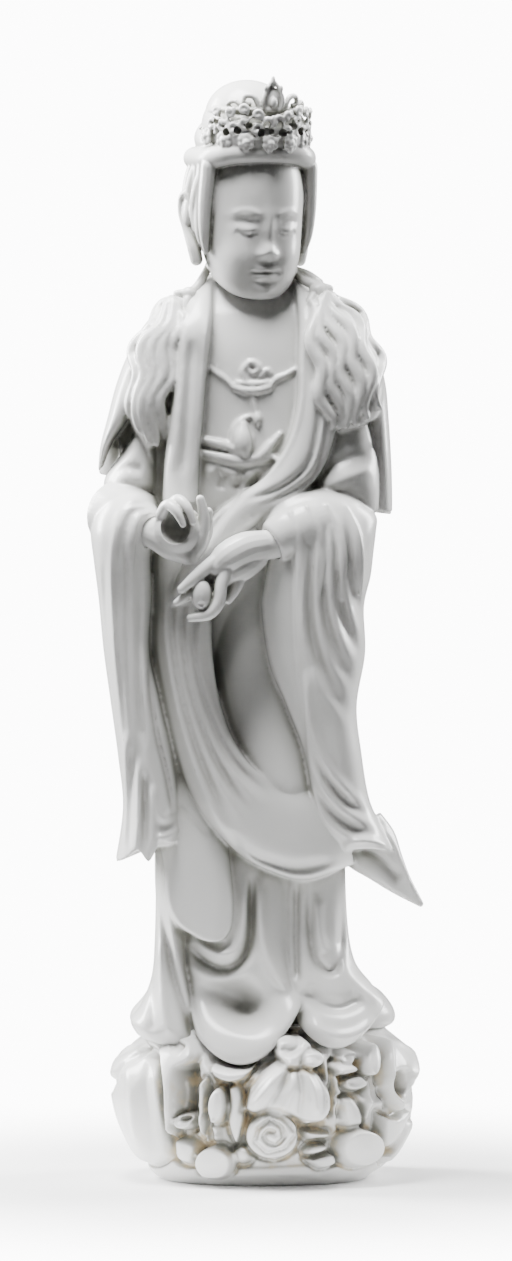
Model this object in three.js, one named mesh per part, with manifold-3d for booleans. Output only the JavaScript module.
// A standing Guanyin in white porcelain on a base of waves and lotus, as a solid model in millimetres.
// +Z is up, the figure faces -Y, and the origin is the middle of the flat underside.
// The figure and its base are fired as one piece. The two hands are made apart and plug into the sleeves.
import * as THREE from "three";
import { mergeVertices } from "three/addons/utils/BufferGeometryUtils.js";
import Module from "manifold-3d";

const wasm = await Module();
wasm.setup();

// Driving sizes
const height = 460; // underside to the tip of the diadem
const baseWidth = 129; // the base at its widest, left to right
const baseDepth = 110; // the base at its widest, front to back
const baseHeight = 56; // underside to the brink of the base, under the hem
const footSink = 16; // how far the feet stand below that brink
const wristDiameter = 12.5; // the round wrist, which is also the plug of each hand
const socketClearance = 0.4; // all round between a wrist and the socket in its sleeve
const socketDepth = 10; // how far a wrist goes into its sleeve
const grain = 3; // spacing of the points on cloth before thinning
const figureFaces = 8050; // triangles left in the figure
const handFaces = 540; // triangles left in each hand

const footLevel = baseHeight - footSink;

const { PI, sin, cos, abs, min, max, hypot, round, floor, sign, exp, sqrt } = Math;
const clamp = (value, low, high) => min(max(value, low), high);
const smooth = (value, low, high) => {
  const t = clamp((value - low) / (high - low), 0, 1);
  return t * t * (3 - 2 * t);
};
const mix = (a, b, t) => a + (b - a) * t;

// The row of numbers at t, 0 to 1, on a smooth curve through rows of numbers
function between(rows, t) {
  const s = clamp(t, 0, 1) * (rows.length - 1);
  const i = min(floor(s), rows.length - 2);
  const f = s - i;
  const [p, a, b, n] = [i - 1, i, i + 1, i + 2].map((j) => rows[clamp(j, 0, rows.length - 1)]);
  return a.map((_, k) => {
    const slopeA = (b[k] - p[k]) / 2;
    const slopeB = (n[k] - a[k]) / 2;
    const square = 3 * (b[k] - a[k]) - 2 * slopeA - slopeB;
    const cube = 2 * (a[k] - b[k]) + slopeA + slopeB;
    return a[k] + f * (slopeA + f * (square + f * cube));
  });
}

// A closed solid through rings of equal count, with a middle point closing each end
function skin(rings) {
  const sides = rings[0].length;
  const points = rings.flat();
  const faces = [];
  const middle = (ring) => ring.reduce((sum, p) => sum.add(p), new THREE.Vector3()).divideScalar(sides);
  points.push(middle(rings[0]), middle(rings.at(-1)));
  const [start, end, last] = [points.length - 2, points.length - 1, (rings.length - 1) * sides];
  for (let j = 0; j < sides; j++) {
    const k = (j + 1) % sides;
    faces.push(start, k, j, end, last + j, last + k);
    for (let i = 0; i < rings.length - 1; i++) {
      const [a, b] = [i * sides, (i + 1) * sides];
      faces.push(a + j, a + k, b + k, a + j, b + k, b + j);
    }
  }
  return solidOf(points, faces);
}

function solidOf(points, faces) {
  const vertProperties = new Float32Array(points.flatMap((p) => [p.x, p.y, p.z]));
  const build = (triVerts) => new wasm.Manifold(new wasm.Mesh({ numProp: 3, vertProperties, triVerts }));
  const made = build(new Uint32Array(faces));
  return made.volume() > 0 ? made : build(new Uint32Array(faces).reverse());
}

// A three.js geometry as a solid
function fromGeometry(geometry) {
  const bare = geometry.clone();
  for (const name of ["normal", "uv"]) bare.deleteAttribute(name);
  const merged = mergeVertices(bare, 1e-4);
  const at = merged.attributes.position;
  const points = Array.from({ length: at.count }, (_, i) => new THREE.Vector3().fromBufferAttribute(at, i));
  const faces = [];
  for (let i = 0; i < merged.index.count; i += 3) {
    const three = [0, 1, 2].map((k) => merged.index.getX(i + k));
    if (new Set(three).size === 3) faces.push(...three);
  }
  return solidOf(points, faces);
}

const fuse = (solids) => wasm.Manifold.union(solids);

// The main body of a solid, without the splinters that joining can leave
const largest = (solid) => solid.decompose().sort((a, b) => b.volume() - a.volume())[0];

// A solid with fewer faces: edges close up one by one, always the one whose loss moves the surface least.
// care says how much more than elsewhere a height in the solid counts.
function thin(solid, target, care = () => 1) {
  const { vertProperties, triVerts, numProp } = solid.getMesh();
  const points = Array.from({ length: vertProperties.length / numProp }, (_, i) =>
    new THREE.Vector3().fromArray(vertProperties, i * numProp),
  );
  const faces = Array.from({ length: triVerts.length / 3 }, (_, i) => [...triVerts.slice(3 * i, 3 * i + 3)]);
  const around = points.map(() => new Set());
  const forms = points.map(() => new Float64Array(10));
  const edge1 = new THREE.Vector3();
  const edge2 = new THREE.Vector3();
  const normalOf = ([a, b, c], moved, place) => {
    const [p, q, r] = [a, b, c].map((v) => (v === moved ? place : points[v]));
    return edge1.subVectors(q, p).cross(edge2.subVectors(r, p)).clone();
  };
  faces.forEach((face, i) => {
    const n = normalOf(face);
    const area = n.length() || 1e-12;
    n.divideScalar(area);
    const d = -n.dot(points[face[0]]);
    const weight = area * care(points[face[0]].z);
    const { x, y, z } = n;
    const plane = [x * x, x * y, x * z, x * d, y * y, y * z, y * d, z * z, z * d, d * d];
    for (const v of face) {
      around[v].add(i);
      plane.forEach((value, k) => (forms[v][k] += value * weight));
    }
  });
  const errorAt = (f, { x, y, z }) =>
    f[0] * x * x + 2 * f[1] * x * y + 2 * f[2] * x * z + 2 * f[3] * x + f[4] * y * y +
    2 * f[5] * y * z + 2 * f[6] * y + f[7] * z * z + 2 * f[8] * z + f[9];
  const matrix = new THREE.Matrix3();
  const closeUp = (a, b) => {
    const f = forms[a].map((value, k) => value + forms[b][k]);
    matrix.set(f[0], f[1], f[2], f[1], f[4], f[5], f[2], f[5], f[7]);
    const middle = points[a].clone().lerp(points[b], 0.5);
    const places = [points[a], points[b], middle];
    const scale = (f[0] + f[4] + f[7]) / 3;
    if (abs(matrix.determinant()) > 1e-4 * scale ** 3) {
      const best = new THREE.Vector3(-f[3], -f[6], -f[8]).applyMatrix3(matrix.invert());
      if (best.distanceTo(middle) < 1.5 * points[a].distanceTo(points[b])) places.push(best);
    }
    const errors = places.map((p) => errorAt(f, p));
    const lowest = errors.indexOf(min(...errors));
    const cost = max(errors[lowest], 0) + 1e-7 * points[a].distanceToSquared(points[b]);
    return { a, b, place: places[lowest], cost };
  };
  const heap = [];
  const push = (item) => {
    let i = heap.push(item) - 1;
    while (i > 0 && heap[(i - 1) >> 1].cost > item.cost) {
      heap[i] = heap[(i - 1) >> 1];
      i = (i - 1) >> 1;
    }
    heap[i] = item;
  };
  const pop = () => {
    const top = heap[0];
    const item = heap.pop();
    if (!heap.length) return top;
    let i = 0;
    for (;;) {
      let child = 2 * i + 1;
      if (child >= heap.length) break;
      if (child + 1 < heap.length && heap[child + 1].cost < heap[child].cost) child++;
      if (heap[child].cost >= item.cost) break;
      heap[i] = heap[child];
      i = child;
    }
    heap[i] = item;
    return top;
  };
  const stamps = new Uint32Array(points.length);
  const offer = (a, b) => {
    const item = closeUp(a, b);
    item.stamps = [stamps[a], stamps[b]];
    push(item);
  };
  const neighbours = (v) => {
    const found = new Set([...around[v]].flatMap((i) => faces[i]));
    found.delete(v);
    return found;
  };
  for (const [a, b, c] of faces) {
    if (a < b) offer(a, b);
    if (b < c) offer(b, c);
    if (c < a) offer(c, a);
  }
  let left = faces.length;
  while (left > target && heap.length) {
    const { a, b, place, stamps: [stampA, stampB] } = pop();
    if (!around[a].size || !around[b].size || stampA !== stamps[a] || stampB !== stamps[b]) continue;
    const nearA = neighbours(a);
    const nearB = neighbours(b);
    const shared = [...nearA].filter((v) => nearB.has(v));
    if (shared.length !== 2 || shared.some((v) => around[v].size < 4)) continue;
    const flips = (v, other) =>
      [...around[v]].some((i) => {
        if (faces[i].includes(other)) return false;
        const before = normalOf(faces[i]).normalize();
        const after = normalOf(faces[i], v, place);
        const others = faces[i].filter((w) => w !== v);
        const longest = max(...others.map((w) => points[w].distanceToSquared(place)));
        return after.length() < 0.04 * longest || before.dot(after.normalize()) < 0.3;
      });
    if (flips(a, b) || flips(b, a)) continue;
    for (const i of around[b]) {
      if (faces[i].includes(a)) {
        for (const v of faces[i]) if (v !== b) around[v].delete(i);
        faces[i] = null;
        left--;
      } else {
        faces[i] = faces[i].map((v) => (v === b ? a : v));
        around[a].add(i);
      }
    }
    around[b].clear();
    points[a] = place.clone();
    forms[b].forEach((value, k) => (forms[a][k] += value));
    stamps[a]++;
    for (const v of neighbours(a)) offer(a, v);
  }
  const numbers = new Map();
  const kept = [];
  const used = faces.filter(Boolean).flatMap((face) =>
    face.map((v) => {
      if (!numbers.has(v)) numbers.set(v, kept.push(points[v]) - 1);
      return numbers.get(v);
    }),
  );
  return solidOf(kept, used);
}

// Height of a carved line at a point of the front view: a soft ridge, or a groove where rise is negative
function carved(x, z, lines) {
  let total = 0;
  for (const line of lines) {
    let [nearest, along] = [Infinity, 0];
    const count = line.samples.length - 1;
    for (let i = 0; i < count; i++) {
      const [a, b] = [line.samples[i], line.samples[i + 1]];
      const [dx, dz] = [b[0] - a[0], b[1] - a[1]];
      const t = clamp(((x - a[0]) * dx + (z - a[1]) * dz) / (dx * dx + dz * dz), 0, 1);
      const d = hypot(x - a[0] - t * dx, z - a[1] - t * dz);
      if (d < nearest) [nearest, along] = [d, (i + t) / count];
    }
    if (nearest > 3 * line.width) continue;
    const taper = smooth(along, -0.02, line.ease) * smooth(1 - along, -0.02, line.ease);
    total += line.rise * taper * exp(-((nearest / line.width) ** 2));
  }
  return total;
}

// A line carved over cloth: rise and width, then the points it runs through in the front view
function line(rise, width, ...points) {
  const samples = Array.from({ length: 17 }, (_, i) => between(points, i / 16));
  return { rise, width, samples, ease: 0.18 };
}

// Folds spread evenly from one guiding line to another, with a groove between each two
function fan(rise, width, count, first, last) {
  return Array.from({ length: 2 * count - 1 }, (_, i) => {
    const share = i / (2 * count - 2);
    const points = first.map((p, k) => p.map((value, axis) => mix(value, last[k][axis], share)));
    return line(i % 2 ? -0.8 * rise : rise, width, ...points);
  });
}

// Cloth as a closed form through rows of [left x, left z, right x, right z, middle y, half depth, sag].
// Its cross-sections are rounded, and sag lowers their middle, as in a hanging hem.
// hem lists how far the last part of the front drops or rises, from left to right.
function cloth(rows, { lines = [], backLines = [], box = 0.8, hem = [0, 0] } = {}) {
  const hemRows = hem.map((rise) => [rise]);
  const full = rows.map((row) => [...row, 0].slice(0, 7));
  const long = rows.slice(1).reduce((sum, row, i) => {
    const was = rows[i];
    return sum + hypot((row[0] + row[2] - was[0] - was[2]) / 2, (row[1] + row[3] - was[1] - was[3]) / 2);
  }, 0);
  const widest = max(...rows.map((row) => hypot(row[2] - row[0], row[3] - row[1]) / 2 + row[5]));
  const steps = max(6, round(long / grain));
  const sides = max(14, 2 * round((widest * PI * 0.55) / grain));
  const rings = [];
  for (let i = 0; i <= steps; i++) {
    const [lx, lz, rx, rz, y, depth, sag] = between(full, i / steps);
    rings.push(
      Array.from({ length: sides }, (_, j) => {
        const turn = (2 * PI * j) / sides;
        const across = sign(cos(turn)) * abs(cos(turn)) ** box;
        const out = sign(sin(turn)) * abs(sin(turn)) ** box;
        const u = (1 + across) / 2;
        const x = mix(lx, rx, u);
        const drop = between(hemRows, u)[0] * smooth(i / steps, 0.6, 1) * smooth(-out, -0.2, 0.5);
        const z = mix(lz, rz, u) - sag * (1 - across * across) + drop;
        const carving = out < 0 ? -carved(x, z, lines) : carved(x, z, backLines);
        return new THREE.Vector3(x, y + out * depth + carving * smooth(abs(out), 0.05, 0.5), z);
      }),
    );
  }
  return skin(rings);
}

// A limb through rows of [x, y, z, radius]; its ends bulge by a share of the radius
function limb(rows, { sides = 8, step = 3, bulge = 1 } = {}) {
  const places = rows.map(([x, y, z]) => new THREE.Vector3(x, y, z));
  const long = places.slice(1).reduce((sum, p, i) => sum + p.distanceTo(places[i]), 0);
  const steps = max(2, round(long / step));
  const at = (t) => {
    const [x, y, z, r] = between(rows, t);
    return { p: new THREE.Vector3(x, y, z), r: max(r, 0.2) };
  };
  const rings = [];
  const side = new THREE.Vector3(1, 0, 0);
  const ring = ({ p, r }, ahead) => {
    const up = new THREE.Vector3().crossVectors(ahead, side).normalize();
    side.crossVectors(up, ahead).normalize();
    return Array.from({ length: sides }, (_, j) => {
      const turn = (2 * PI * j) / sides;
      return side.clone().multiplyScalar(r * cos(turn)).addScaledVector(up, r * sin(turn)).add(p);
    });
  };
  const heading = (t) => at(min(t + 0.02, 1)).p.sub(at(max(t - 0.02, 0)).p).normalize();
  const first = heading(0);
  if (abs(first.x) > 0.8) side.set(0, 1, 0);
  const dome = [0.9, 0.5];
  for (const s of dome) {
    const { p, r } = at(0);
    rings.push(ring({ p: p.addScaledVector(first, -s * r * bulge), r: r * sqrt(1 - s * s) }, first));
  }
  for (let i = 0; i <= steps; i++) rings.push(ring(at(i / steps), heading(i / steps)));
  const final = heading(1);
  for (const s of dome.toReversed()) {
    const { p, r } = at(1);
    rings.push(ring({ p: p.addScaledVector(final, s * r * bulge), r: r * sqrt(1 - s * s) }, final));
  }
  return skin(rings);
}

// An egg-shaped solid at a place, with its three half sizes and a turn in degrees about x, y and z
function ball([x, y, z], [rx, ry, rz], [tx, ty, tz] = [0, 0, 0], detail = [14, 9]) {
  const shape = new THREE.SphereGeometry(1, ...detail).rotateX(PI / 2).scale(rx, ry, rz);
  const turn = new THREE.Euler(...[tx, ty, tz].map(THREE.MathUtils.degToRad), "ZYX");
  shape.applyMatrix4(new THREE.Matrix4().makeRotationFromEuler(turn).setPosition(x, y, z));
  return fromGeometry(shape);
}

// The robe's inner body, from the neck down into the base
function body() {
  const rows = [
    [-22, 338, 12, 338, 4, 14],
    [-38, 329, 29, 329, 4, 19],
    [-47, 321, 38, 321, 3, 23],
    [-53.5, 310, 44, 310, 2, 26],
    [-59, 297, 48, 297, 1, 27],
    [-61, 280, 47, 280, 0, 27],
    [-60, 262, 45, 262, 0, 28],
    [-60, 243, 44, 243, 1, 28],
    [-58, 228, 42, 228, 4, 25],
    [-56, 212, 40, 212, 7, 22],
    [-53, 188, 37, 188, 8, 20.5],
    [-50, 160, 35, 160, 6, 21],
    [-47, 132, 33, 132, 3, 23],
    [-45, 105, 33, 105, 0, 26],
    [-44, 70, 34, 70, 0, 28],
    [-40, 35, 36, 35, 0, 28],
    [-36, 0, 34, 0, 0, 26],
  ];
  const lines = [
  ];
  const backLines = [
    line(2.7, 2.8, [-46, 246], [-42, 190], [-40, 130], [-42, 60], [-44, 24]),
    line(2.9, 3.3, [-30, 246], [-27, 190], [-24, 120], [-26, 60], [-30, 24]),
    line(-2.6, 2.4, [-36, 240], [-34, 190], [-31, 130], [-33, 60]),
    line(3, 3.3, [-12, 240], [-12, 190], [-9, 120], [-10, 60], [-12, 24]),
    line(-2.6, 2.6, [-20, 240], [-19, 190], [-15, 130], [-17, 60]),
    line(3, 3.3, [4, 24], [3, 60], [2, 120], [-1, 190], [-1, 240]),
    line(-2.6, 2.6, [8, 240], [9, 190], [10, 130], [12, 60]),
    line(2.9, 3.3, [24, 24], [20, 60], [18, 120], [16, 190], [18, 240]),
    line(-2.6, 2.4, [24, 240], [22, 190], [24, 130], [28, 60]),
    line(2.7, 2.8, [38, 24], [34, 60], [32, 120], [30, 190], [34, 240]),
  ];
  return cloth(rows, { lines, backLines, box: 0.85 });
}

// The front of the body in the hollow between the sleeves
function belly() {
  const rows = [
    [-22, 230, 26, 230, 4, 17],
    [-21, 207, 25, 207, 3, 17.5],
    [-19, 190, 25, 190, 0, 18],
    [-16, 172, 25, 172, -4, 19.6],
    [-11, 154, 25, 154, -8, 21],
    [-4, 139, 25, 139, -12, 21.5],
    [2, 127, 25, 125, -15, 20],
  ];
  return cloth(rows, { box: 1 });
}

// The mantle over shoulders and back
function mantle() {
  const rows = [
    [-34, 331, 26, 331, 8, 18],
    [-48, 320, 39.5, 320, 8, 21],
    [-57, 305, 47, 305, 9, 23],
    [-62.5, 287, 51, 287, 11, 22],
    [-66.5, 273, 52.5, 270, 13, 20],
    [-69, 263, 53.5, 255, 14, 19],
    [-69, 255, 54, 238, 15, 16],
  ];
  const backLines = [
    line(2.4, 3.3, [-34, 322], [-47, 300], [-55, 275], [-58, 252]),
    line(2.6, 3.3, [-22, 316], [-33, 290], [-40, 265], [-43, 246]),
    line(2.4, 3.3, [46, 240], [42, 262], [34, 285], [22, 312]),
    line(-2.6, 3, [-20, 322], [-8, 311], [4, 311], [15, 321]),
    line(2.4, 3.4, [-24, 313], [-8, 299], [6, 299], [19, 311]),
    line(-2.8, 3.2, [-24, 300], [-9, 284], [6, 284], [20, 297]),
    line(2.4, 3.4, [-22, 288], [-8, 272], [7, 272], [20, 284]),
    line(-2.4, 3, [-20, 272], [-8, 259], [6, 259], [16, 268]),
  ];
  return cloth(rows, { backLines, box: 0.75 });
}

// The mantle's front edges, which end in points beside the elbows
function mantleFronts() {
  const left = [
    [-44, 321, -32, 321, -3, 13],
    [-55, 308, -42, 308, -5, 17],
    [-61, 294, -47, 294, -7, 18],
    [-65, 279, -54, 281, -8, 17],
    [-68, 267, -62, 270, -9, 13],
    [-69, 256.5, -66.8, 258.5, -8, 7],
  ];
  const right = [
    [30, 323, 38, 322, 0, 13],
    [39, 310, 46.5, 309, -3, 15],
    [44, 295, 51, 294, -4, 15],
    [47, 280, 52.5, 279, -5, 14],
    [48, 262, 53.6, 261, -6, 13],
    [48.2, 248, 54, 247, -6, 12],
    [48.4, 240.5, 54, 239.5, -6, 11],
  ];
  return fuse([cloth(left), cloth(right)]);
}

// The upper arms, which bend at the elbow into the hanging sleeves
function upperArms() {
  const left = [
    [-46, 320, -30, 320, 2, 14],
    [-53, 306, -34, 306, 0, 19],
    [-55, 292, -38, 292, -2, 20],
    [-53.5, 278, -41, 278, -4, 20],
    [-58, 266, -43, 264, -7, 20],
    [-66, 254, -43, 252, -10, 19],
    [-66, 245, -47, 244, -10, 14],
  ];
  const right = [
    [20, 322, 36, 322, 2, 14],
    [22, 309, 45, 309, 0, 19],
    [22, 294, 48, 294, -2, 20],
    [22, 278, 46.4, 278, -5, 20],
    [19, 264, 48.6, 263, -9, 19],
    [17, 254, 49, 250, -11, 19],
    [20, 244, 49, 240, -11, 15],
  ];
  const leftLines = [
    line(2.1, 2.2, [-51, 274], [-49, 266], [-44.5, 258]),
    line(-2.4, 2, [-65, 252], [-58, 258], [-50, 256]),
  ];
  const rightLines = [
    line(-2.4, 2, [24, 256], [30, 264], [38, 264], [45, 268]),
    line(1.8, 2.2, [22, 250], [30, 258], [40, 256]),
  ];
  return fuse([cloth(left, { lines: leftLines }), cloth(right, { lines: rightLines })]);
}

// The sleeve that hangs from the right arm, at the viewer's left
function leftSleeve() {
  const rows = [
    [-66, 245, -47, 248, -13, 10, -4],
    [-70.5, 240, -44, 244.5, -18, 19, -4],
    [-71.8, 231, -43.6, 236, -20.5, 23.5, -2],
    [-70.5, 219, -46.8, 222, -20.5, 23.5],
    [-68.5, 203, -46.2, 204, -20, 22],
    [-66.5, 182, -46.8, 182, -20, 21],
    [-63.5, 160, -42, 162, -20, 20],
    [-60.5, 138, -36.5, 140, -20, 19.5],
    [-58.5, 117, -34.5, 119, -20, 19],
    [-61.5, 95, -33, 103, -20, 20],
  ];
  const lines = [
    ...fan(
      1.9, 2.1, 3,
      [[-46, 246], [-56, 243], [-61, 232], [-62.4, 205], [-60, 165], [-57, 128]],
      [[-45, 240.6], [-51, 240], [-54.6, 232], [-54.6, 205], [-54, 170], [-53, 140]],
    ),
    line(1.9, 2, [-51, 226], [-50, 205], [-50.4, 180], [-49.6, 160], [-48, 140]),
    line(-2, 1.8, [-66, 222], [-64.4, 185], [-61, 150], [-58.6, 118]),
    line(1.9, 2, [-38, 114], [-40.4, 128], [-44.5, 146], [-47.6, 168], [-47.4, 186]),
    line(-2.6, 1.8, [-47.6, 176], [-44.6, 150], [-40.2, 132], [-37.4, 116]),
    line(2, 2, [-50.4, 150], [-46.6, 132], [-43.2, 116], [-40.2, 113.4], [-36.6, 117]),
    ...fan(
      2, 2.1, 3,
      [[-56.6, 150], [-57.6, 128], [-58.6, 98]],
      [[-46.4, 128], [-46, 114], [-46.4, 97]],
    ),
    line(2.2, 1.8, [-44, 105.5], [-40, 105.5], [-34, 109]),
  ];
  return cloth(rows, { lines, hem: [-1, 0, 2, -4, 3, 1, 2] });
}

// The sleeve that hangs from the left arm, at the viewer's right
function rightSleeve() {
  const rows = [
    [8, 245.5, 45.4, 240.5, -15, 10, -8],
    [-4, 240, 47.4, 237, -18.5, 17, -7.5],
    [-3, 233, 47, 231.5, -20, 20.5, -4],
    [2.5, 224, 46, 223, -20, 21.5, -1],
    [0.5, 211, 44.8, 213, -20, 21.5],
    [-0.8, 199, 42, 200, -20, 21],
    [2.6, 176, 42.5, 181, -20.5, 20.5],
    [9, 160, 39, 159, -21, 20],
    [15.6, 141, 41, 139, -21, 19],
    [18, 121, 44, 121, -20, 18],
    [23.4, 109, 48.5, 110, -20, 17],
    [31, 98, 54, 98.5, -20, 16, -2],
  ];
  const lines = [
    line(1.5, 1.8, [4, 228], [2.2, 211], [0.8, 199], [3.8, 178], [9.6, 161], [15.6, 146]),
    line(1.8, 2, [9.4, 238], [12, 226], [12.6, 212], [13.2, 190], [15, 165], [16.6, 149]),
    ...fan(
      2.1, 2.3, 5,
      [[16, 241], [17.4, 226], [16.6, 205], [17.6, 185], [24, 166], [36, 148]],
      [[36, 241], [38, 230], [39, 220], [40.4, 212], [42.4, 204], [45, 196]],
    ),
    line(2.4, 2.4, [16.6, 176], [17, 158], [18, 142], [20, 126], [23.6, 112], [31, 98]),
    ...fan(
      2, 2.3, 3,
      [[18, 158], [20.4, 147], [24, 139], [29, 131], [36, 123], [44, 116]],
      [[19.4, 130], [22, 119], [26, 112], [32, 107], [39, 104], [47, 103]],
    ),
    line(2.4, 1.8, [32, 100.5], [40, 103.5], [47, 103], [53.5, 101]),
  ];
  return cloth(rows, { lines });
}

// The windblown point of the right sleeve
function sleeveTip() {
  const rows = [
    [29, 98, 46.5, 113, -12, 8],
    [38, 92, 50, 105.5, -13, 6.4],
    [47, 87.3, 54.8, 95.5, -15, 4.6],
    [56.5, 81.6, 60.6, 85.6, -16, 3],
    [66, 74.3, 67.3, 75.9, -17, 1.2],
  ];
  const lines = [
    line(-2.4, 2.2, [40, 100], [48, 96], [56, 87]),
    line(1.4, 1.8, [47, 108], [52, 100], [58, 89], [64, 79]),
  ];
  return cloth(rows, { lines });
}

// The robe's front, which hangs in a deep curve from the left hip to under the right sleeve
function swag() {
  const rows = [
    [-46, 240, -24, 238, -13, 8],
    [-47, 218, -21, 218, -17, 9],
    [-47.5, 192, -21.5, 192, -21, 10],
    [-44, 166, -19.5, 168, -23, 11],
    [-38, 141, -14, 149, -24.5, 12],
    [-27, 116, -6, 136.5, -26, 13],
    [-12, 99, 2, 130, -26.5, 13],
    [2, 90.5, 9, 126.5, -26, 13],
    [18, 86.5, 19, 125, -25, 13],
    [38, 93, 32, 124, -22, 12],
  ];
  const lines = [
    ...fan(
      2.2, 2.1, 4,
      [[-40, 214], [-40, 190], [-36, 163], [-27, 132], [-15, 104]],
      [[-25, 205], [-27, 186], [-22, 162], [-10, 138], [8, 124]],
    ),
    line(
      2.4, 1.8, [-20.6, 184], [-18.4, 165], [-14, 150], [-7, 138.6], [2, 130.4], [11, 126.4],
      [20, 125.4],
    ),
    line(-1.8, 2.2, [-15, 108], [-8, 99.5], [2, 94.5], [14, 92], [28, 95]),
    line(2.6, 1.8, [-11, 103], [-4, 95], [4, 91.4], [13.6, 88.6], [23, 89.6], [32, 94]),
  ];
  return cloth(rows, { lines });
}

// The oval lobe of the robe's hem at the left
function tongue() {
  const rows = [
    [-45, 152, -28, 152, -14, 8],
    [-46, 132, -24, 128, -18, 9.5],
    [-44.5, 108, -15.5, 104, -22, 11],
    [-41.6, 93, -13.6, 92, -24, 11],
    [-41, 79, -12, 78, -25, 10.5],
    [-36.5, 68.6, -12.6, 67.5, -26, 9.5],
    [-28.6, 63.4, -15.6, 62.2, -26, 8, 1.4],
  ];
  return cloth(rows);
}

// The under skirt, flaring to a hem that rests on the waves
function skirt() {
  const rows = [
    [-45, 120, 34, 120, 0, 25],
    [-45.6, 90, 34.5, 90, 0, 27],
    [-44.6, 66, 34.5, 66, 0, 28],
    [-44.5, 54, 36, 54, 0, 30],
    [-46, 44, 41, 44, 0, 33],
    [-50, 36, 50, 37, 0, 36],
    [-55.6, 29, 55, 30, 0, 39],
    [-55, 24, 55, 25, 0, 38.5],
    [-48, 20, 50, 22, 0, 34],
  ];
  const lines = [
    line(2.4, 2.8, [19.4, 86], [19.4, 66], [21, 54], [25, 49.4], [30, 50], [32.2, 60], [32.4, 86]),
    line(-2, 1.8, [14.9, 84], [14.4, 68], [14.1, 54], [15, 44]),
  ];
  const backLines = [
    line(2.9, 3.3, [-32, 110], [-33, 70], [-39, 26]),
    line(3, 3.3, [-14, 110], [-15, 70], [-18, 26]),
    line(3, 3.3, [8, 26], [6, 70], [5, 110]),
    line(2.9, 3.3, [32, 26], [26, 70], [23, 110]),
    line(-3, 3, [-23, 108], [-24, 70], [-28, 28]),
    line(-3, 3, [-3, 108], [-4, 70], [-4, 28]),
    line(-3, 3, [14, 108], [15, 70], [19, 28]),
  ];
  return cloth(rows, { lines, backLines });
}

// The folds that spread beside the left lobe of the hem
function leftFlare() {
  const rows = [
    [-45, 84, -29, 84, -6, 15],
    [-45.4, 62, -31, 60, -9, 17],
    [-46.6, 46, -30, 44, -12, 19],
    [-51, 34, -28, 33, -14, 21, 1],
    [-55.4, 27.6, -26, 24, -15, 22, 2],
    [-53, 22, -26, 18.6, -15, 20, 2],
  ];
  const lines = [
    line(-3, 1.8, [-43.6, 78], [-40, 60.6], [-37.4, 46], [-31.6, 29], [-27.4, 20]),
    line(1.8, 1.8, [-40.4, 80], [-36.6, 60], [-33, 44], [-29, 30]),
    line(1.8, 2, [-44.4, 62], [-43, 46], [-41, 32], [-39, 22]),
    line(-2, 1.8, [-46, 46], [-46.4, 34], [-46, 24]),
  ];
  return cloth(rows, { lines });
}

// The two rounded lobes of the front hem
function hemLobes() {
  const left = [
    [-24, 92, 8, 92, -8, 10],
    [-30, 74, 11, 74, -11, 12],
    [-33, 60, 13, 60, -14, 14],
    [-33.6, 50, 14.6, 52, -17, 17, 2],
    [-32.4, 40, 16, 46, -21, 20, 7],
    [-30.4, 30, 17, 40, -26, 20, 12.6],
    [-28, 23, 16.8, 36.8, -30, 17, 16.4],
  ];
  const right = [
    [8, 86, 34, 86, -10, 10],
    [6, 68, 35, 68, -13, 11],
    [4, 54, 38, 52, -18, 12],
    [6, 42, 45, 43.4, -23, 13, 3],
    [12, 34, 50, 37, -28, 12.5, 8],
    [14, 28, 49.6, 33.6, -31, 11, 11.5],
  ];
  const leftLines = [
    line(2.6, 2.2, [-7.4, 90], [-7.8, 72], [-11, 59], [-15.4, 56.4], [-20.6, 57.6], [-30, 64]),
    line(
      -4.4, 2.2, [-31, 59.6], [-24.9, 52.6], [-16.4, 49.4], [-9.4, 52.6], [-5.9, 61], [-4.8, 76],
      [-4.7, 90],
    ),
    line(2.2, 3, [-33, 52], [-26, 43.6], [-16, 41.6], [-8, 45]),
    line(3.4, 2.6, [-1.8, 90], [-1.4, 72], [0.4, 58], [5, 48], [12, 40.6]),
    line(1.9, 2.2, [-24, 20], [-29, 31], [-33, 46], [-36, 60]),
    line(-5, 7, [-22, 44], [-13, 38], [-5, 33]),
  ];
  const rightLines = [
    line(2.4, 2.8, [19.4, 86], [19.4, 66], [21, 54], [25, 49.4], [30, 50], [32.2, 60], [32.4, 86]),
    line(-2.2, 2, [14.6, 84], [14.4, 68], [14.4, 54]),
    line(-3.4, 3.4, [16, 43], [24, 36], [33, 34], [42, 39]),
    line(2.2, 2.6, [31.6, 60], [34, 50], [41, 42], [49, 37]),
    line(2, 2.4, [17, 29.6], [25, 24.6], [33, 23], [41, 25], [47, 30]),
  ];
  return fuse([
    cloth(left, { lines: leftLines, box: 0.9 }),
    cloth(right, { lines: rightLines, box: 0.9 }),
  ]);
}

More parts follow.
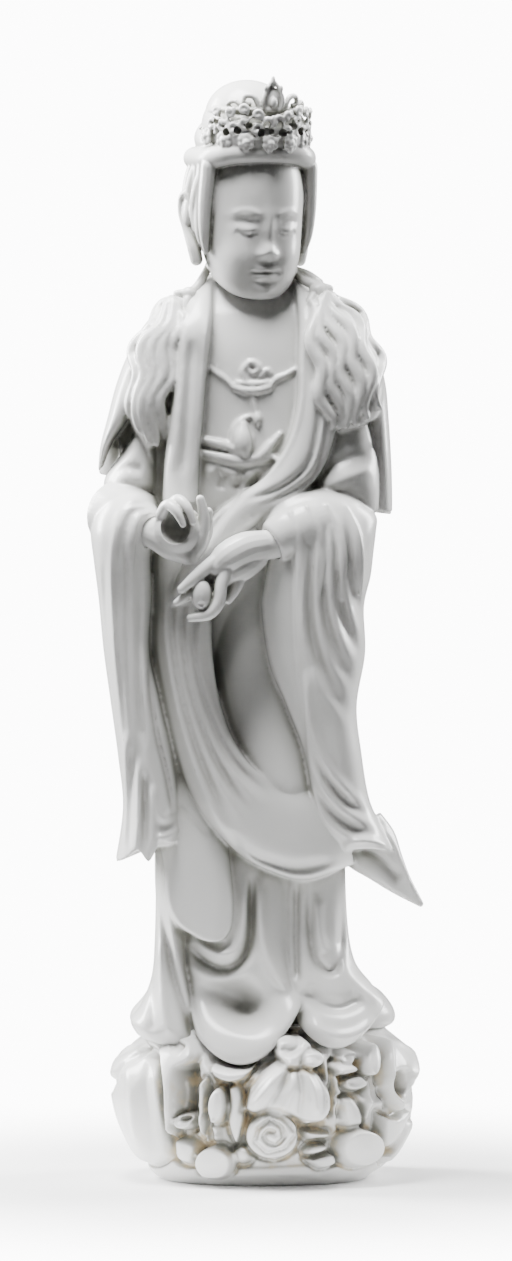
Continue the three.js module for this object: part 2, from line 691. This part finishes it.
// The robe's front edges: straight down on the left, and across to the left hip on the right
function lapels() {
  const left = [
    [-27, 337, -20, 340, 2, 4],
    [-31, 331, -20.8, 334, -7, 7],
    [-35, 318, -21.2, 318, -20, 9],
    [-36.6, 300, -23, 300, -24, 8],
    [-39, 280, -24.8, 280, -26, 8],
    [-41, 262, -26.3, 262, -27, 8],
    [-42, 244, -27, 244, -29, 8],
  ];
  const right = [
    [12.4, 340, 17, 337, 2, 4],
    [13, 334, 22, 330, -7, 7],
    [14.4, 318, 28, 316, -19, 9],
    [14, 300, 31, 299, -23, 8],
    [13.6, 285, 31.6, 284, -25, 8],
    [10.8, 272, 29, 268, -26, 8],
    [6, 262, 24, 256, -27, 8],
    [0, 254, 14, 245, -28, 8],
    [-10, 247, 0, 236, -28, 8],
    [-21, 238, -13, 226, -27, 8],
    [-32, 221, -23, 211, -26, 8],
    [-41, 202, -32, 199, -23, 7],
  ];
  const lines = [
    line(
      -1.9, 1.8, [20, 300], [22.8, 286], [22.4, 273], [19.4, 261], [13.6, 254], [4.4, 248.4],
      [-8.4, 244.4],
    ),
    line(
      -1.7, 1.8, [25, 302], [26.9, 288], [26.4, 273], [23.2, 260.4], [19, 253.6], [9, 247], [-4, 241],
    ),
    line(-2.2, 1.8, [-9.6, 248], [-13, 243], [-20, 234], [-27, 224]),
  ];
  return fuse([cloth(left), cloth(right, { lines })]);
}

// Finds where a ray first meets a solid: the point and the way its surface faces there
function surface(solid) {
  const mesh = new THREE.Mesh(geometryOf(solid), new THREE.MeshBasicMaterial({ side: THREE.DoubleSide }));
  const caster = new THREE.Raycaster();
  return (from, toward) => {
    caster.set(from, toward);
    const hit = caster.intersectObject(mesh)[0];
    return hit && { point: hit.point, facing: hit.face.normal };
  };
}

function geometryOf(solid) {
  const made = solid.getMesh();
  return new THREE.BufferGeometry()
    .setAttribute("position", new THREE.BufferAttribute(new Float32Array(made.vertProperties), 3))
    .setIndex(new THREE.BufferAttribute(new Uint32Array(made.triVerts), 1));
}

// The front of a solid at a point of the front view; past its edge, the depth of the edge itself
function depthAt(find, x, z) {
  for (let inward = 1; inward > 0; inward -= 0.04) {
    const hit = find(new THREE.Vector3(x * inward, -200, z * inward), new THREE.Vector3(0, 1, 0));
    if (hit) return hit.point.y;
  }
  return 0;
}

// A cord or lock that lies on the front of a solid, with its radius along the path and how deep it sinks.
// swing and turns wave it from side to side without moving its depth.
function laid(find, points, radii, { sink = 0.5, swing = 0, turns = 2 } = {}) {
  const count = swing ? 14 : points.length;
  const path = Array.from({ length: count }, (_, i) => between(points, i / (count - 1)));
  const depths = path.map(([x, z]) => depthAt(find, x, z));
  const rows = path.map(([x, z], i) => {
    const [r] = between(radii.map((v) => [v]), i / (count - 1));
    const [ahead, behind] = [path[min(i + 1, count - 1)], path[max(i - 1, 0)]];
    const long = hypot(ahead[0] - behind[0], ahead[1] - behind[1]);
    const off = (swing * sin((i / (count - 1)) * turns * 2 * PI)) / long;
    const near = [max(i - 1, 0), i, min(i + 1, count - 1)].reduce((sum, j) => sum + depths[j] / 3, 0);
    const y = near - r * (1 - 2 * sink);
    return [x + (ahead[1] - behind[1]) * off, y, z - (ahead[0] - behind[0]) * off, r];
  });
  return limb(rows, { sides: 8, step: grain });
}

const wrapped = (solid) => solid.rotate([10, 0, 19]).translate([-5.4, -7, 363]);

// The head with its hair, drawn upright about its own middle and then tilted and turned
function head() {
  const skull = [
    [-5.5, -32.4, 5.5, -32.4, -12.5, 6],
    [-11, -30.6, 11, -30.6, -11.5, 10.5],
    [-16.4, -25.6, 16.4, -25.6, -8, 15.6],
    [-19.4, -17, 19.4, -17, -3.5, 21],
    [-20.8, -7, 20.8, -7, -0.5, 24],
    [-21.2, 4, 21.2, 4, 0.5, 25.2],
    [-20.8, 16, 20.8, 16, 1.5, 24.6],
    [-19, 26, 19, 26, 3, 21.4],
    [-16, 35, 16, 35, 5, 15],
  ];
  const face = [
    limb([[0, -24.2, 4, 1.3], [0, -25.4, -3, 1.7], [0, -26.8, -9, 2.2]]),
    ball([0, -25.4, -10.8], [3.5, 2.6, 2]),
    ball([0, -21.4, -18.6], [4.2, 2.6, 1.4]),
    ball([0, -20.8, -21.4], [3.3, 2.6, 1.5]),
    ball([0, -16.4, -27.6], [6, 4.6, 4]),
    ...[-1, 1].flatMap((s) => [
      ball([s * 8.8, -21.4, -1.6], [4.8, 2.8, 2.6], [0, 0, s * 14]),
      limb([[s * 3.6, -23.8, 3.6, 0.9], [s * 8.8, -22.9, 5.6, 1.1], [s * 14, -19.6, 3.8, 0.8]], { sides: 6 }),
    ]),
  ];
  const hair = [
    ball([0, 4, 8], [24.6, 25, 30.4], [0, 0, 0], [22, 14]),
    limb(
      [
        [-22.6, 15, 22, 5],
        [-22.6, -1, 24, 5.4],
        [-19.2, -12.4, 26.6, 5.1],
        [-12.6, -18.4, 28.8, 4.2],
        [0, -21, 29.8, 4.2],
        [12.6, -18.4, 28.8, 4.2],
        [19.2, -12.4, 26.6, 5.1],
        [22.6, -1, 24, 5.4],
        [22.6, 15, 22, 5],
      ],
      { step: 4 },
    ),
    ...[-1, 1].flatMap((s) => [
      ball([s * 20.4, 5, 5], [5, 13.5, 20], [0, 0, 0], [14, 10]),
      limb([
        [s * 22.2, -5, 22, 3.4],
        [s * 23.2, -5.4, 6, 3.2],
        [s * 22.4, -5.6, -6, 2.8],
        [s * 21.4, -5.4, -14, 1.4],
      ]),
    ]),
  ];
  const ears = [-1, 1].flatMap((s) => [
    limb(
      [
        [s * 25.6, 2.6, 5, 1.6],
        [s * 27, 4.6, 8.6, 1.7],
        [s * 28, 7.6, 6.4, 1.7],
        [s * 27.8, 7.6, 0, 1.7],
        [s * 26.4, 5, -6.4, 2],
        [s * 25, 2.4, -13, 2.6],
        [s * 24.2, 1.4, -18.4, 2.4],
      ],
      { sides: 6 },
    ),
    ball([s * 26, 5.4, 1], [2.2, 4, 7]),
  ]);
  const bun = [
    ball([-2, 5, 41.6], [17.8, 17.4, 14.8], [0, 0, 0], [18, 12]),
    ball([-1, 6, 31], [22.4, 22, 13], [0, 0, 0], [18, 12]),
  ];
  const crown = [
    cloth([
      [-21.5, 31, 21, 31, 0, 23],
      [-22.5, 35, 21.5, 35, 0, 24],
      [-22, 41, 20.5, 41, 0, 23],
      [-19, 45, 17, 45, 1, 20],
    ]),
    ...Array.from({ length: 9 }, (_, i) => {
      const turn = ((i - 4) * 22.5 * PI) / 180;
      return ball([22.5 * sin(turn), -23.4 * cos(turn), 33], [2.8, 2.6, 2.8], [0, 0, 0], [8, 6]);
    }),
    ...Array.from({ length: 7 }, (_, i) => {
      const turn = ((i - 3) * 27 * PI) / 180;
      const tilt = [0, 0, (turn * 180) / PI];
      return ball([20.5 * sin(turn), -22 * cos(turn), 39.5], [4.6, 2.4, 3.8], tilt, [8, 6]);
    }),
    limb([
      [-18, -5, 42.5, 1.6],
      [-12, -16, 45, 1.8],
      [0, -21, 46.5, 1.8],
      [11, -16, 45, 1.8],
      [17, -5, 43, 1.6],
    ]),
    ball([0, -18.5, 50], [5.4, 3.6, 7.5], [-8, 0, 0], [10, 8]),
    ball([0, -19, 57.5], [1.8, 1.8, 4], [0, 0, 0], [8, 6]),
    ball([-10, -15.5, 48.5], [4, 3.2, 4], [0, 0, -25], [8, 6]),
    ball([10, -15.5, 48.5], [4, 3.2, 4], [0, 0, 25], [8, 6]),
    ball([-17.5, -6, 43], [3, 4, 3.4], [0, 0, 0], [8, 6]),
  ];
  return wrapped(fuse([cloth(skull, { box: 0.95 }), ...face, ...hair, ...ears, ...bun, ...crown]));
}

function neck() {
  const rows = [
    [-4, 4, 312, 15],
    [-4.5, 1, 330, 13.5],
    [-5, -1, 342, 13.5],
  ];
  return limb(rows, { sides: 16, step: 4 });
}

// Ribbons tied beside the neck, each with a knot and two short tails
function ribbons() {
  const band = (rows) => limb(rows, { sides: 6 });
  const knot = (s, [x, z]) => [
    ball([x, -15, z], [4, 3.4, 3.2], [0, s * 20, 0], [8, 6]),
    band([[x - s * 1, -15, z, 2.2], [x + s * 4, -17, z - 3, 2.4], [x + s * 7, -17, z - 8, 1.4]]),
    band([[x, -15, z, 2.2], [x - s * 2, -18, z - 5, 2.2], [x - s * 1, -19, z - 9, 1.4]]),
  ];
  return [
    band([[-22, -2, 345, 1.8], [-24.3, -8, 338.8, 2], [-29, -13, 331.6, 2.1], [-38, -16, 330.4, 1.6]]),
    band([[12, -2, 343, 1.8], [14.6, -8, 338, 2], [19.6, -12, 334.8, 2.2], [29, -15, 332.6, 1.7]]),
    ...knot(-1, [-31, 329]),
    ...knot(1, [23, 331]),
  ];
}

// Wavy locks of hair which fall from the ribbons over both shoulders
function tresses(find) {
  const left = [
    [[-38, 328], [-46, 320], [-52, 308], [-53.6, 296], [-54.4, 280]],
    [[-37, 328], [-44, 318], [-49, 306], [-51, 292], [-51.6, 274]],
    [[-36, 327], [-41.6, 316], [-46, 303], [-48.6, 288], [-48.6, 269.4]],
    [[-35.4, 326], [-39, 314], [-42.6, 300], [-45.4, 286], [-45.6, 268]],
    [[-34.6, 322], [-36, 310], [-39, 297], [-42, 284], [-42.8, 270.6]],
  ];
  const right = [
    [[20, 327], [20.6, 314], [22.6, 300], [25, 287], [28, 275.6]],
    [[22, 328], [24.6, 315], [27.6, 302], [29.6, 289], [31.6, 275]],
    [[24, 329], [29, 317], [32.6, 304], [34, 291], [35.6, 275.6]],
    [[26, 330], [33, 319], [37.6, 306], [39, 293], [39.6, 276.6]],
    [[28, 330.6], [37, 320], [42, 308], [43.6, 295], [43.6, 279]],
    [[30, 331], [39.4, 321], [45.4, 309.6], [47.8, 298], [47.4, 283]],
  ];
  const radii = [1.8, 2.8, 3.2, 3, 2];
  return [...left, ...right].map((points, i) =>
    laid(find, points, radii, { sink: 0.35, swing: i < left.length ? 1.5 : -1.5, turns: 2.4 }),
  );
}

// The mass of hair under the locks
function hairOnShoulders() {
  const left = [
    [-38, 330, -31, 328, -12, 5],
    [-49.5, 317, -33, 316, -16, 9],
    [-54, 304, -34.4, 303, -18, 9.5],
    [-55.4, 290, -37.4, 290, -20, 9.5],
    [-55.6, 278, -40, 277, -21, 9],
    [-51, 268.6, -43, 268, -21, 7, 1.5],
  ];
  const right = [
    [17, 331, 29, 331, -12, 5],
    [19, 317, 39, 319, -16, 9],
    [20.6, 303, 46.6, 306, -18, 9.5],
    [23, 289, 49.8, 295, -19, 9.5],
    [25.6, 277, 49.6, 285, -20, 9],
    [29, 272.6, 47, 278.6, -20.5, 7, 1],
  ];
  return fuse([cloth(left), cloth(right)]);
}

// A necklace with a carved drop, and the bow of the sash
function ornaments(find) {
  const cords = [
    [[[-22, 299], [-16, 295], [-12, 291], [-5, 290], [2, 290.5], [8, 294.5], [13, 299]], [1.1, 1.4, 1.1]],
    [[[-8, 296], [-5, 298.5], [-2, 296]], [2, 2.6, 2]],
    [[[-4, 290], [-3.5, 284], [-3, 277]], [0.9, 0.8, 1.5]],
    [[[-4, 277], [-9, 276], [-13, 272], [-14, 266]], [1.2, 1.5, 1.3]],
    [[[-26, 267], [-18, 264], [-10, 261.5], [-2, 260.5], [6, 260]], [1.8, 2.2, 1.6]],
    [[[-12, 262], [-4, 263.5], [2, 268], [7, 272]], [1.5, 2.2, 1.5]],
    [[[-10, 262], [-11, 268], [-6, 270], [-4, 265], [-10, 262]], [1.4, 1.8, 1.4]],
    [[[-24, 252], [-16, 256], [-6, 257], [4, 259]], [1.6, 2.2, 1.5]],
  ];
  return cords.map(([points, radii]) => laid(find, points, radii, { sink: 0.4 }));
}

// Where each wrist leaves its sleeve, and the way it points
const wrists = {
  right: { at: new THREE.Vector3(-46.5, -36.5, 231.5), aim: new THREE.Vector3(0.86, -0.51, 0).normalize() },
  left: { at: new THREE.Vector3(2.5, -36.5, 226.5), aim: new THREE.Vector3(-0.87, -0.46, -0.14).normalize() },
};

// The forearms in the sleeves, whose cloth closes round each wrist
function forearms() {
  const left = [
    [-62, -20, 239, 14],
    [-57, -27, 237.5, 13],
    [-52, -32.6, 235, 11.4],
    [-48, -35.6, 232.4, 10],
  ];
  const right = [
    [32, -24, 234.5, 16],
    [20, -29.6, 233.4, 14],
    [10.6, -33.4, 230.6, 12],
    [4, -35.9, 227.2, 10],
  ];
  return fuse([left, right].map((rows) => limb(rows, { sides: 16, bulge: 0.15 })));
}

// The round wrist along its aim, from inside its sleeve out to the hand, in real millimetres
function wristRod({ aim }, radius, inside, outside) {
  const rod = new THREE.CylinderGeometry(radius, radius, inside + outside, 28);
  rod.translate(0, (outside - inside) / 2, 0);
  const turn = new THREE.Quaternion().setFromUnitVectors(new THREE.Vector3(0, 1, 0), aim);
  return fromGeometry(rod.applyQuaternion(turn));
}

// The right hand: an upturned palm with the fingers curling over it
function rightHand() {
  const palm = ball([-35, -41, 231.5], [11.4, 9.6, 11.2], [0, 0, -15], [18, 12]);
  const hollow = ball([-35.4, -53.4, 233], [9.4, 7, 9.6], [0, 0, 0], [14, 9]);
  const fingers = [
    [[-38.6, -43, 241.4, 3.2], [-35.4, -48, 245, 2.9], [-31.6, -51.4, 242, 2.6], [-29, -52, 236, 1.9]],
    [[-42, -44, 238.6, 3.2], [-39.4, -49, 243, 2.8], [-35.8, -52.4, 240.4, 2.5], [-33, -53, 235, 1.8]],
    [[-30, -44, 221.6, 4], [-25.8, -45, 228, 3.4], [-24.4, -46, 237, 2.9], [-26, -47, 245.4, 2.2]],
    [[-43.5, -39, 231, 6.4], [-41, -41, 228, 6.4], [-37.4, -42.4, 225.4, 5.6], [-31, -43.6, 222.8, 4.4]],
  ];
  return fuse([palm.subtract(hollow), ...fingers.map((rows) => limb(rows))]);
}

// The left hand: its back to the front, the fingers round a short round-ended roll
function leftHand() {
  const fingers = [
    [[-1, -38.5, 226, 6.4], [-8, -42, 224.6, 7], [-15, -44.5, 221, 6.6], [-19.5, -46, 217.5, 4.8]],
    [[-4, -38, 221.5, 6.2], [-10, -41, 217.6, 6.8], [-16, -43, 213.6, 5]],
    [[-17, -45.5, 221, 4], [-23, -47.5, 217, 3.4], [-29, -49, 212, 2.9], [-36, -50, 206.5, 2.2]],
    [[-19, -42, 215, 3.6], [-28, -45, 209, 2.8], [-33, -46, 204.5, 2.4], [-37, -46.5, 201.5, 1.8]],
    [[-15.5, -46, 217, 3.6], [-17.4, -48.8, 210, 3], [-18.4, -49.6, 203, 2.9], [-22.4, -49.6, 198, 2.6],
      [-30, -49, 196.4, 2]],
    [[-10, -41, 216, 4], [-12, -43, 209, 3.2], [-15, -43, 203.5, 2.4], [-20, -43, 200, 2]],
  ];
  const roll = fuse([
    ball([-24.8, -48.5, 206], [4.7, 4.7, 5.8]),
    limb([[-23, -40, 213, 3.4], [-24.5, -45.5, 208, 4], [-25, -48.5, 204, 4]]),
  ]).subtract(ball([-25.5, -53, 201.2], [2.4, 2, 2.2], [0, 0, 0], [8, 6]));
  return fuse([roll, ...fingers.map((rows) => limb(rows))]);
}

// The base: a rounded mass of water and rock, drawn 129 wide, 110 deep and 56 tall below its top
const drawnBase = [129, 110, 56];

function baseMass() {
  const rows = [
    [-41, -43, 39, -43, 0, 35],
    [-42, -40, 40, -40, 0, 36],
    [-47.5, -37.5, 47, -37.5, 0, 41],
    [-51.5, -32, 54, -32, 0, 46],
    [-55, -24, 57.5, -24, 0, 50],
    [-59, -14, 61.5, -14, 0, 52.5],
    [-62, -2, 63, -2, 0, 54],
    [-62, 6, 63, 6, 0, 53],
    [-57, 14, 59, 15, 0, 48],
    [-50, 20, 52, 22, 0, 42],
    [-44, 24, 46, 26, 0, 36],
  ];
  return cloth(rows, { box: 0.92 });
}

// Things carved on the front of the base, each laid on its surface
function lotusAndRocks(find) {
  const lump = ([x, z], [rx, rz], out, turn = 0, ry = 4) =>
    ball([x, depthAt(find, x, z) + ry - out, z], [rx, ry, rz], [0, turn, 0], [12, 8]);
  const stalk = (radii, ...points) => laid(find, points, radii, { sink: 0.3 });
  return {
    added: [
      lump([-51, -6], [11, 22], 5, 8, 8),
      lump([-46, 7], [9, 11], 6, -8, 6),
      lump([-43, -27], [8, 6], 3.5, 20),
      stalk([1.8, 2.2, 1.8], [-59, -2], [-55, 5], [-52, 11], [-49, 16]),
      stalk([2, 2.8, 2.2], [-41.5, 15], [-41.5, 4], [-42.5, -8], [-40, -22]),
      stalk([2.2, 2.8, 2.2], [-40, 12], [-40, 21], [-35, 25.5], [-30, 21], [-30, 12]),
      lump([-34.5, 3], [6, 12], 3.5, 0, 5),
      lump([-35, -12], [6.8, 7.6], 6, 0, 6),
      lump([-34, -23], [6.5, 4.4], 5.5, 20),
      lump([-28, -29], [6.5, 4], 5, 20),
      lump([-27.5, 0], [4, 8], 4.5, 0, 5),
      lump([-20.5, -3], [6, 9.6], 8, 12, 7),
      stalk([1.8, 2, 1.6], [-21, -10], [-22, -17], [-19, -25]),
      lump([-19, -30.5], [9.6, 9.2], 6, 0, 7),
      lump([-14, 6], [9, 4], 6.5, -5, 5),
      lump([-9, -10], [6, 10], 4.5, 0, 5),
      lump([10.5, 15.5], [9, 9], 8, 0, 8),
      lump([19, 12], [8, 6], 6, 20, 6),
      lump([-2, 4], [9, 8.5], 6.5, -30, 6),
      stalk([2.2, 3.4, 2.6], [-8, 1], [-3, 8], [4, 12.5], [12, 10]),
      lump([8, 0], [10, 11], 7, 20, 7),
      lump([20, -3], [8.5, 12], 6, -10, 7),
      stalk([1.8, 2.2, 1.8], [25, 13], [27.5, 5], [27.5, -5], [28, -14]),
      stalk([1.4, 1.8, 1.4], [30, 12], [31.8, 3], [31.5, -10]),
      lump([34.5, 13], [4.8, 4], 7, 0, 5),
      lump([34, 4], [5.6, 4.4], 7, 0, 5),
      lump([36, -9], [5.5, 8], 5, 0, 5),
      lump([41, 11], [6, 9.4], 8, -10, 7),
      lump([41.5, -2], [5, 7], 6, 0, 6),
      stalk([1.6, 1.8, 1.4], [45, 6], [45, -5], [43, -16]),
      lump([39.5, -24], [10.6, 10], 6, 0, 7),
      lump([20, -22], [4.4, 4], 6, 0, 5),
      lump([27, -26], [8, 5], 6, -20, 6),
      stalk([2.2, 3, 2.2], [48, 20], [50, 12], [53, 4], [56, -7]),
      lump([54, 1], [6.5, 13], 8, -10, 7),
      lump([55, -14], [6.5, 10], 6, -12, 7),
      stalk([2.2, 2.8, 1.8], [49, 17], [55, 19], [59, 15], [62, 6]),
      lump([49, -29], [5, 5], 5),
      lump([3.5, -17], [12.4, 12], 8, 0, 8),
    ],
    hollows: [
      lump([-35.2, 17], [2.8, 3.6], 4.5),
      lump([-34, 2], [3.2, 7.5], 4, 12, 5),
      lump([-35, -9], [3.6, 3.6], 8, 0, 5),
      lump([-25, 9], [3.4, 5], 2, 0, 5),
      lump([-15, -19], [3, 4], 2, 0, 5),
      lump([54.5, 1], [2.4, 4.4], 9.5, 0, 4),
      lump([48, -6], [1.8, 6], 4, -28, 5),
    ],
  };
}

// The rose on the base's front: a spiral ridge on a low dome
function rose(find) {
  const middle = [3.5, -17];
  const turns = 2.3;
  const points = Array.from({ length: 30 }, (_, i) => {
    const t = i / 29;
    const turn = turns * 2 * PI * t + 0.4;
    const r = mix(1.5, 10.5, t);
    return [middle[0] + r * cos(turn), middle[1] + r * sin(turn)];
  });
  return laid(find, points, [1.2, 1.6, 2], { sink: 0.35 });
}

// Curling waves round the sides and the back of the base, where the photograph shows nothing
function backWaves(find) {
  const count = 11;
  const made = [];
  for (let i = 0; i < count; i++) {
    const turn = mix(0.32, 1.68, i / (count - 1)) * PI;
    for (const [level, size] of [[9, 8], [-14, 9.5]]) {
      const around = turn + (level < 0 ? 0.07 : 0);
      const rows = Array.from({ length: 12 }, (_, j) => {
        const t = j / 11;
        const r = mix(1, size, t);
        const spin = 0.5 + t * 1.35 * 2 * PI;
        const angle = around + (r * cos(spin)) / 55;
        const z = level + r * sin(spin);
        const hit = find(new THREE.Vector3(0, 0, z), new THREE.Vector3(sin(angle), -cos(angle), 0));
        return [hit.point.x, hit.point.y, z, mix(1.4, 2.6, t)];
      });
      made.push(limb(rows, { sides: 6, step: 3.4 }));
    }
  }
  return made;
}

function base() {
  const mass = baseMass();
  const find = surface(mass);
  const { added, hollows } = lotusAndRocks(find);
  const lumps = fuse([mass, ...added]);
  const carvedBase = fuse([lumps, rose(surface(lumps)), ...backWaves(find)]).subtract(fuse(hollows));
  const [wide, deep, tall] = [baseWidth / drawnBase[0], baseDepth / drawnBase[1], baseHeight / drawnBase[2]];
  return carvedBase.translate([0, 0, 40]).scale([wide, deep, tall]);
}

const clothed = fuse([
  body(),
  belly(),
  mantle(),
  mantleFronts(),
  upperArms(),
  hairOnShoulders(),
  leftSleeve(),
  rightSleeve(),
  sleeveTip(),
  forearms(),
  swag(),
  tongue(),
  skirt(),
  leftFlare(),
  hemLobes(),
  lapels(),
  neck(),
]);
const find = surface(clothed);
const robed = fuse([clothed, head(), ...ribbons(), ...tresses(find), ...ornaments(find)]);

// The figure as drawn, brought to its real size: the tip reaches the stated height
const figureScale = (height - footLevel) / robed.boundingBox().max[2];
const grown = (solid) => solid.scale([figureScale, figureScale, figureScale]);
const foot = new THREE.Vector3(0, 0, footLevel);
const placeOf = (wrist) => wrist.at.clone().multiplyScalar(figureScale).add(foot);

const wristRadius = wristDiameter / 2;
const socket = (wrist) =>
  wristRod(wrist, wristRadius + socketClearance, socketDepth, 30).translate(placeOf(wrist).toArray());
const hand = (wrist, form) =>
  fuse([
    wristRod(wrist, wristRadius, socketDepth - socketClearance, 5),
    thin(grown(form.translate(wrist.at.clone().negate().toArray())), handFaces),
  ]);

const standing = fuse([grown(robed).translate([0, 0, footLevel]), base()]);
const chinLevel = footLevel + 325 * figureScale;
const figure = thin(largest(standing), figureFaces, (z) => (z > chinLevel ? 5 : 1))
  .subtract(fuse([socket(wrists.right), socket(wrists.left)]))
  .trimByPlane([0, 0, 1], 0);

const part = new THREE.Group();

function place(name, solid, position) {
  const porcelain = new THREE.MeshStandardMaterial({ color: 0xecebe4, roughness: 0.22, metalness: 0 });
  const mesh = new THREE.Mesh(geometryOf(largest(solid)), porcelain);
  mesh.geometry.computeVertexNormals();
  mesh.name = name;
  mesh.position.copy(position);
  part.add(mesh);
}

place("guanyin_figure", figure, new THREE.Vector3());
place("right_hand", hand(wrists.right, rightHand()), placeOf(wrists.right));
place("left_hand", hand(wrists.left, leftHand()), placeOf(wrists.left));

export default part;
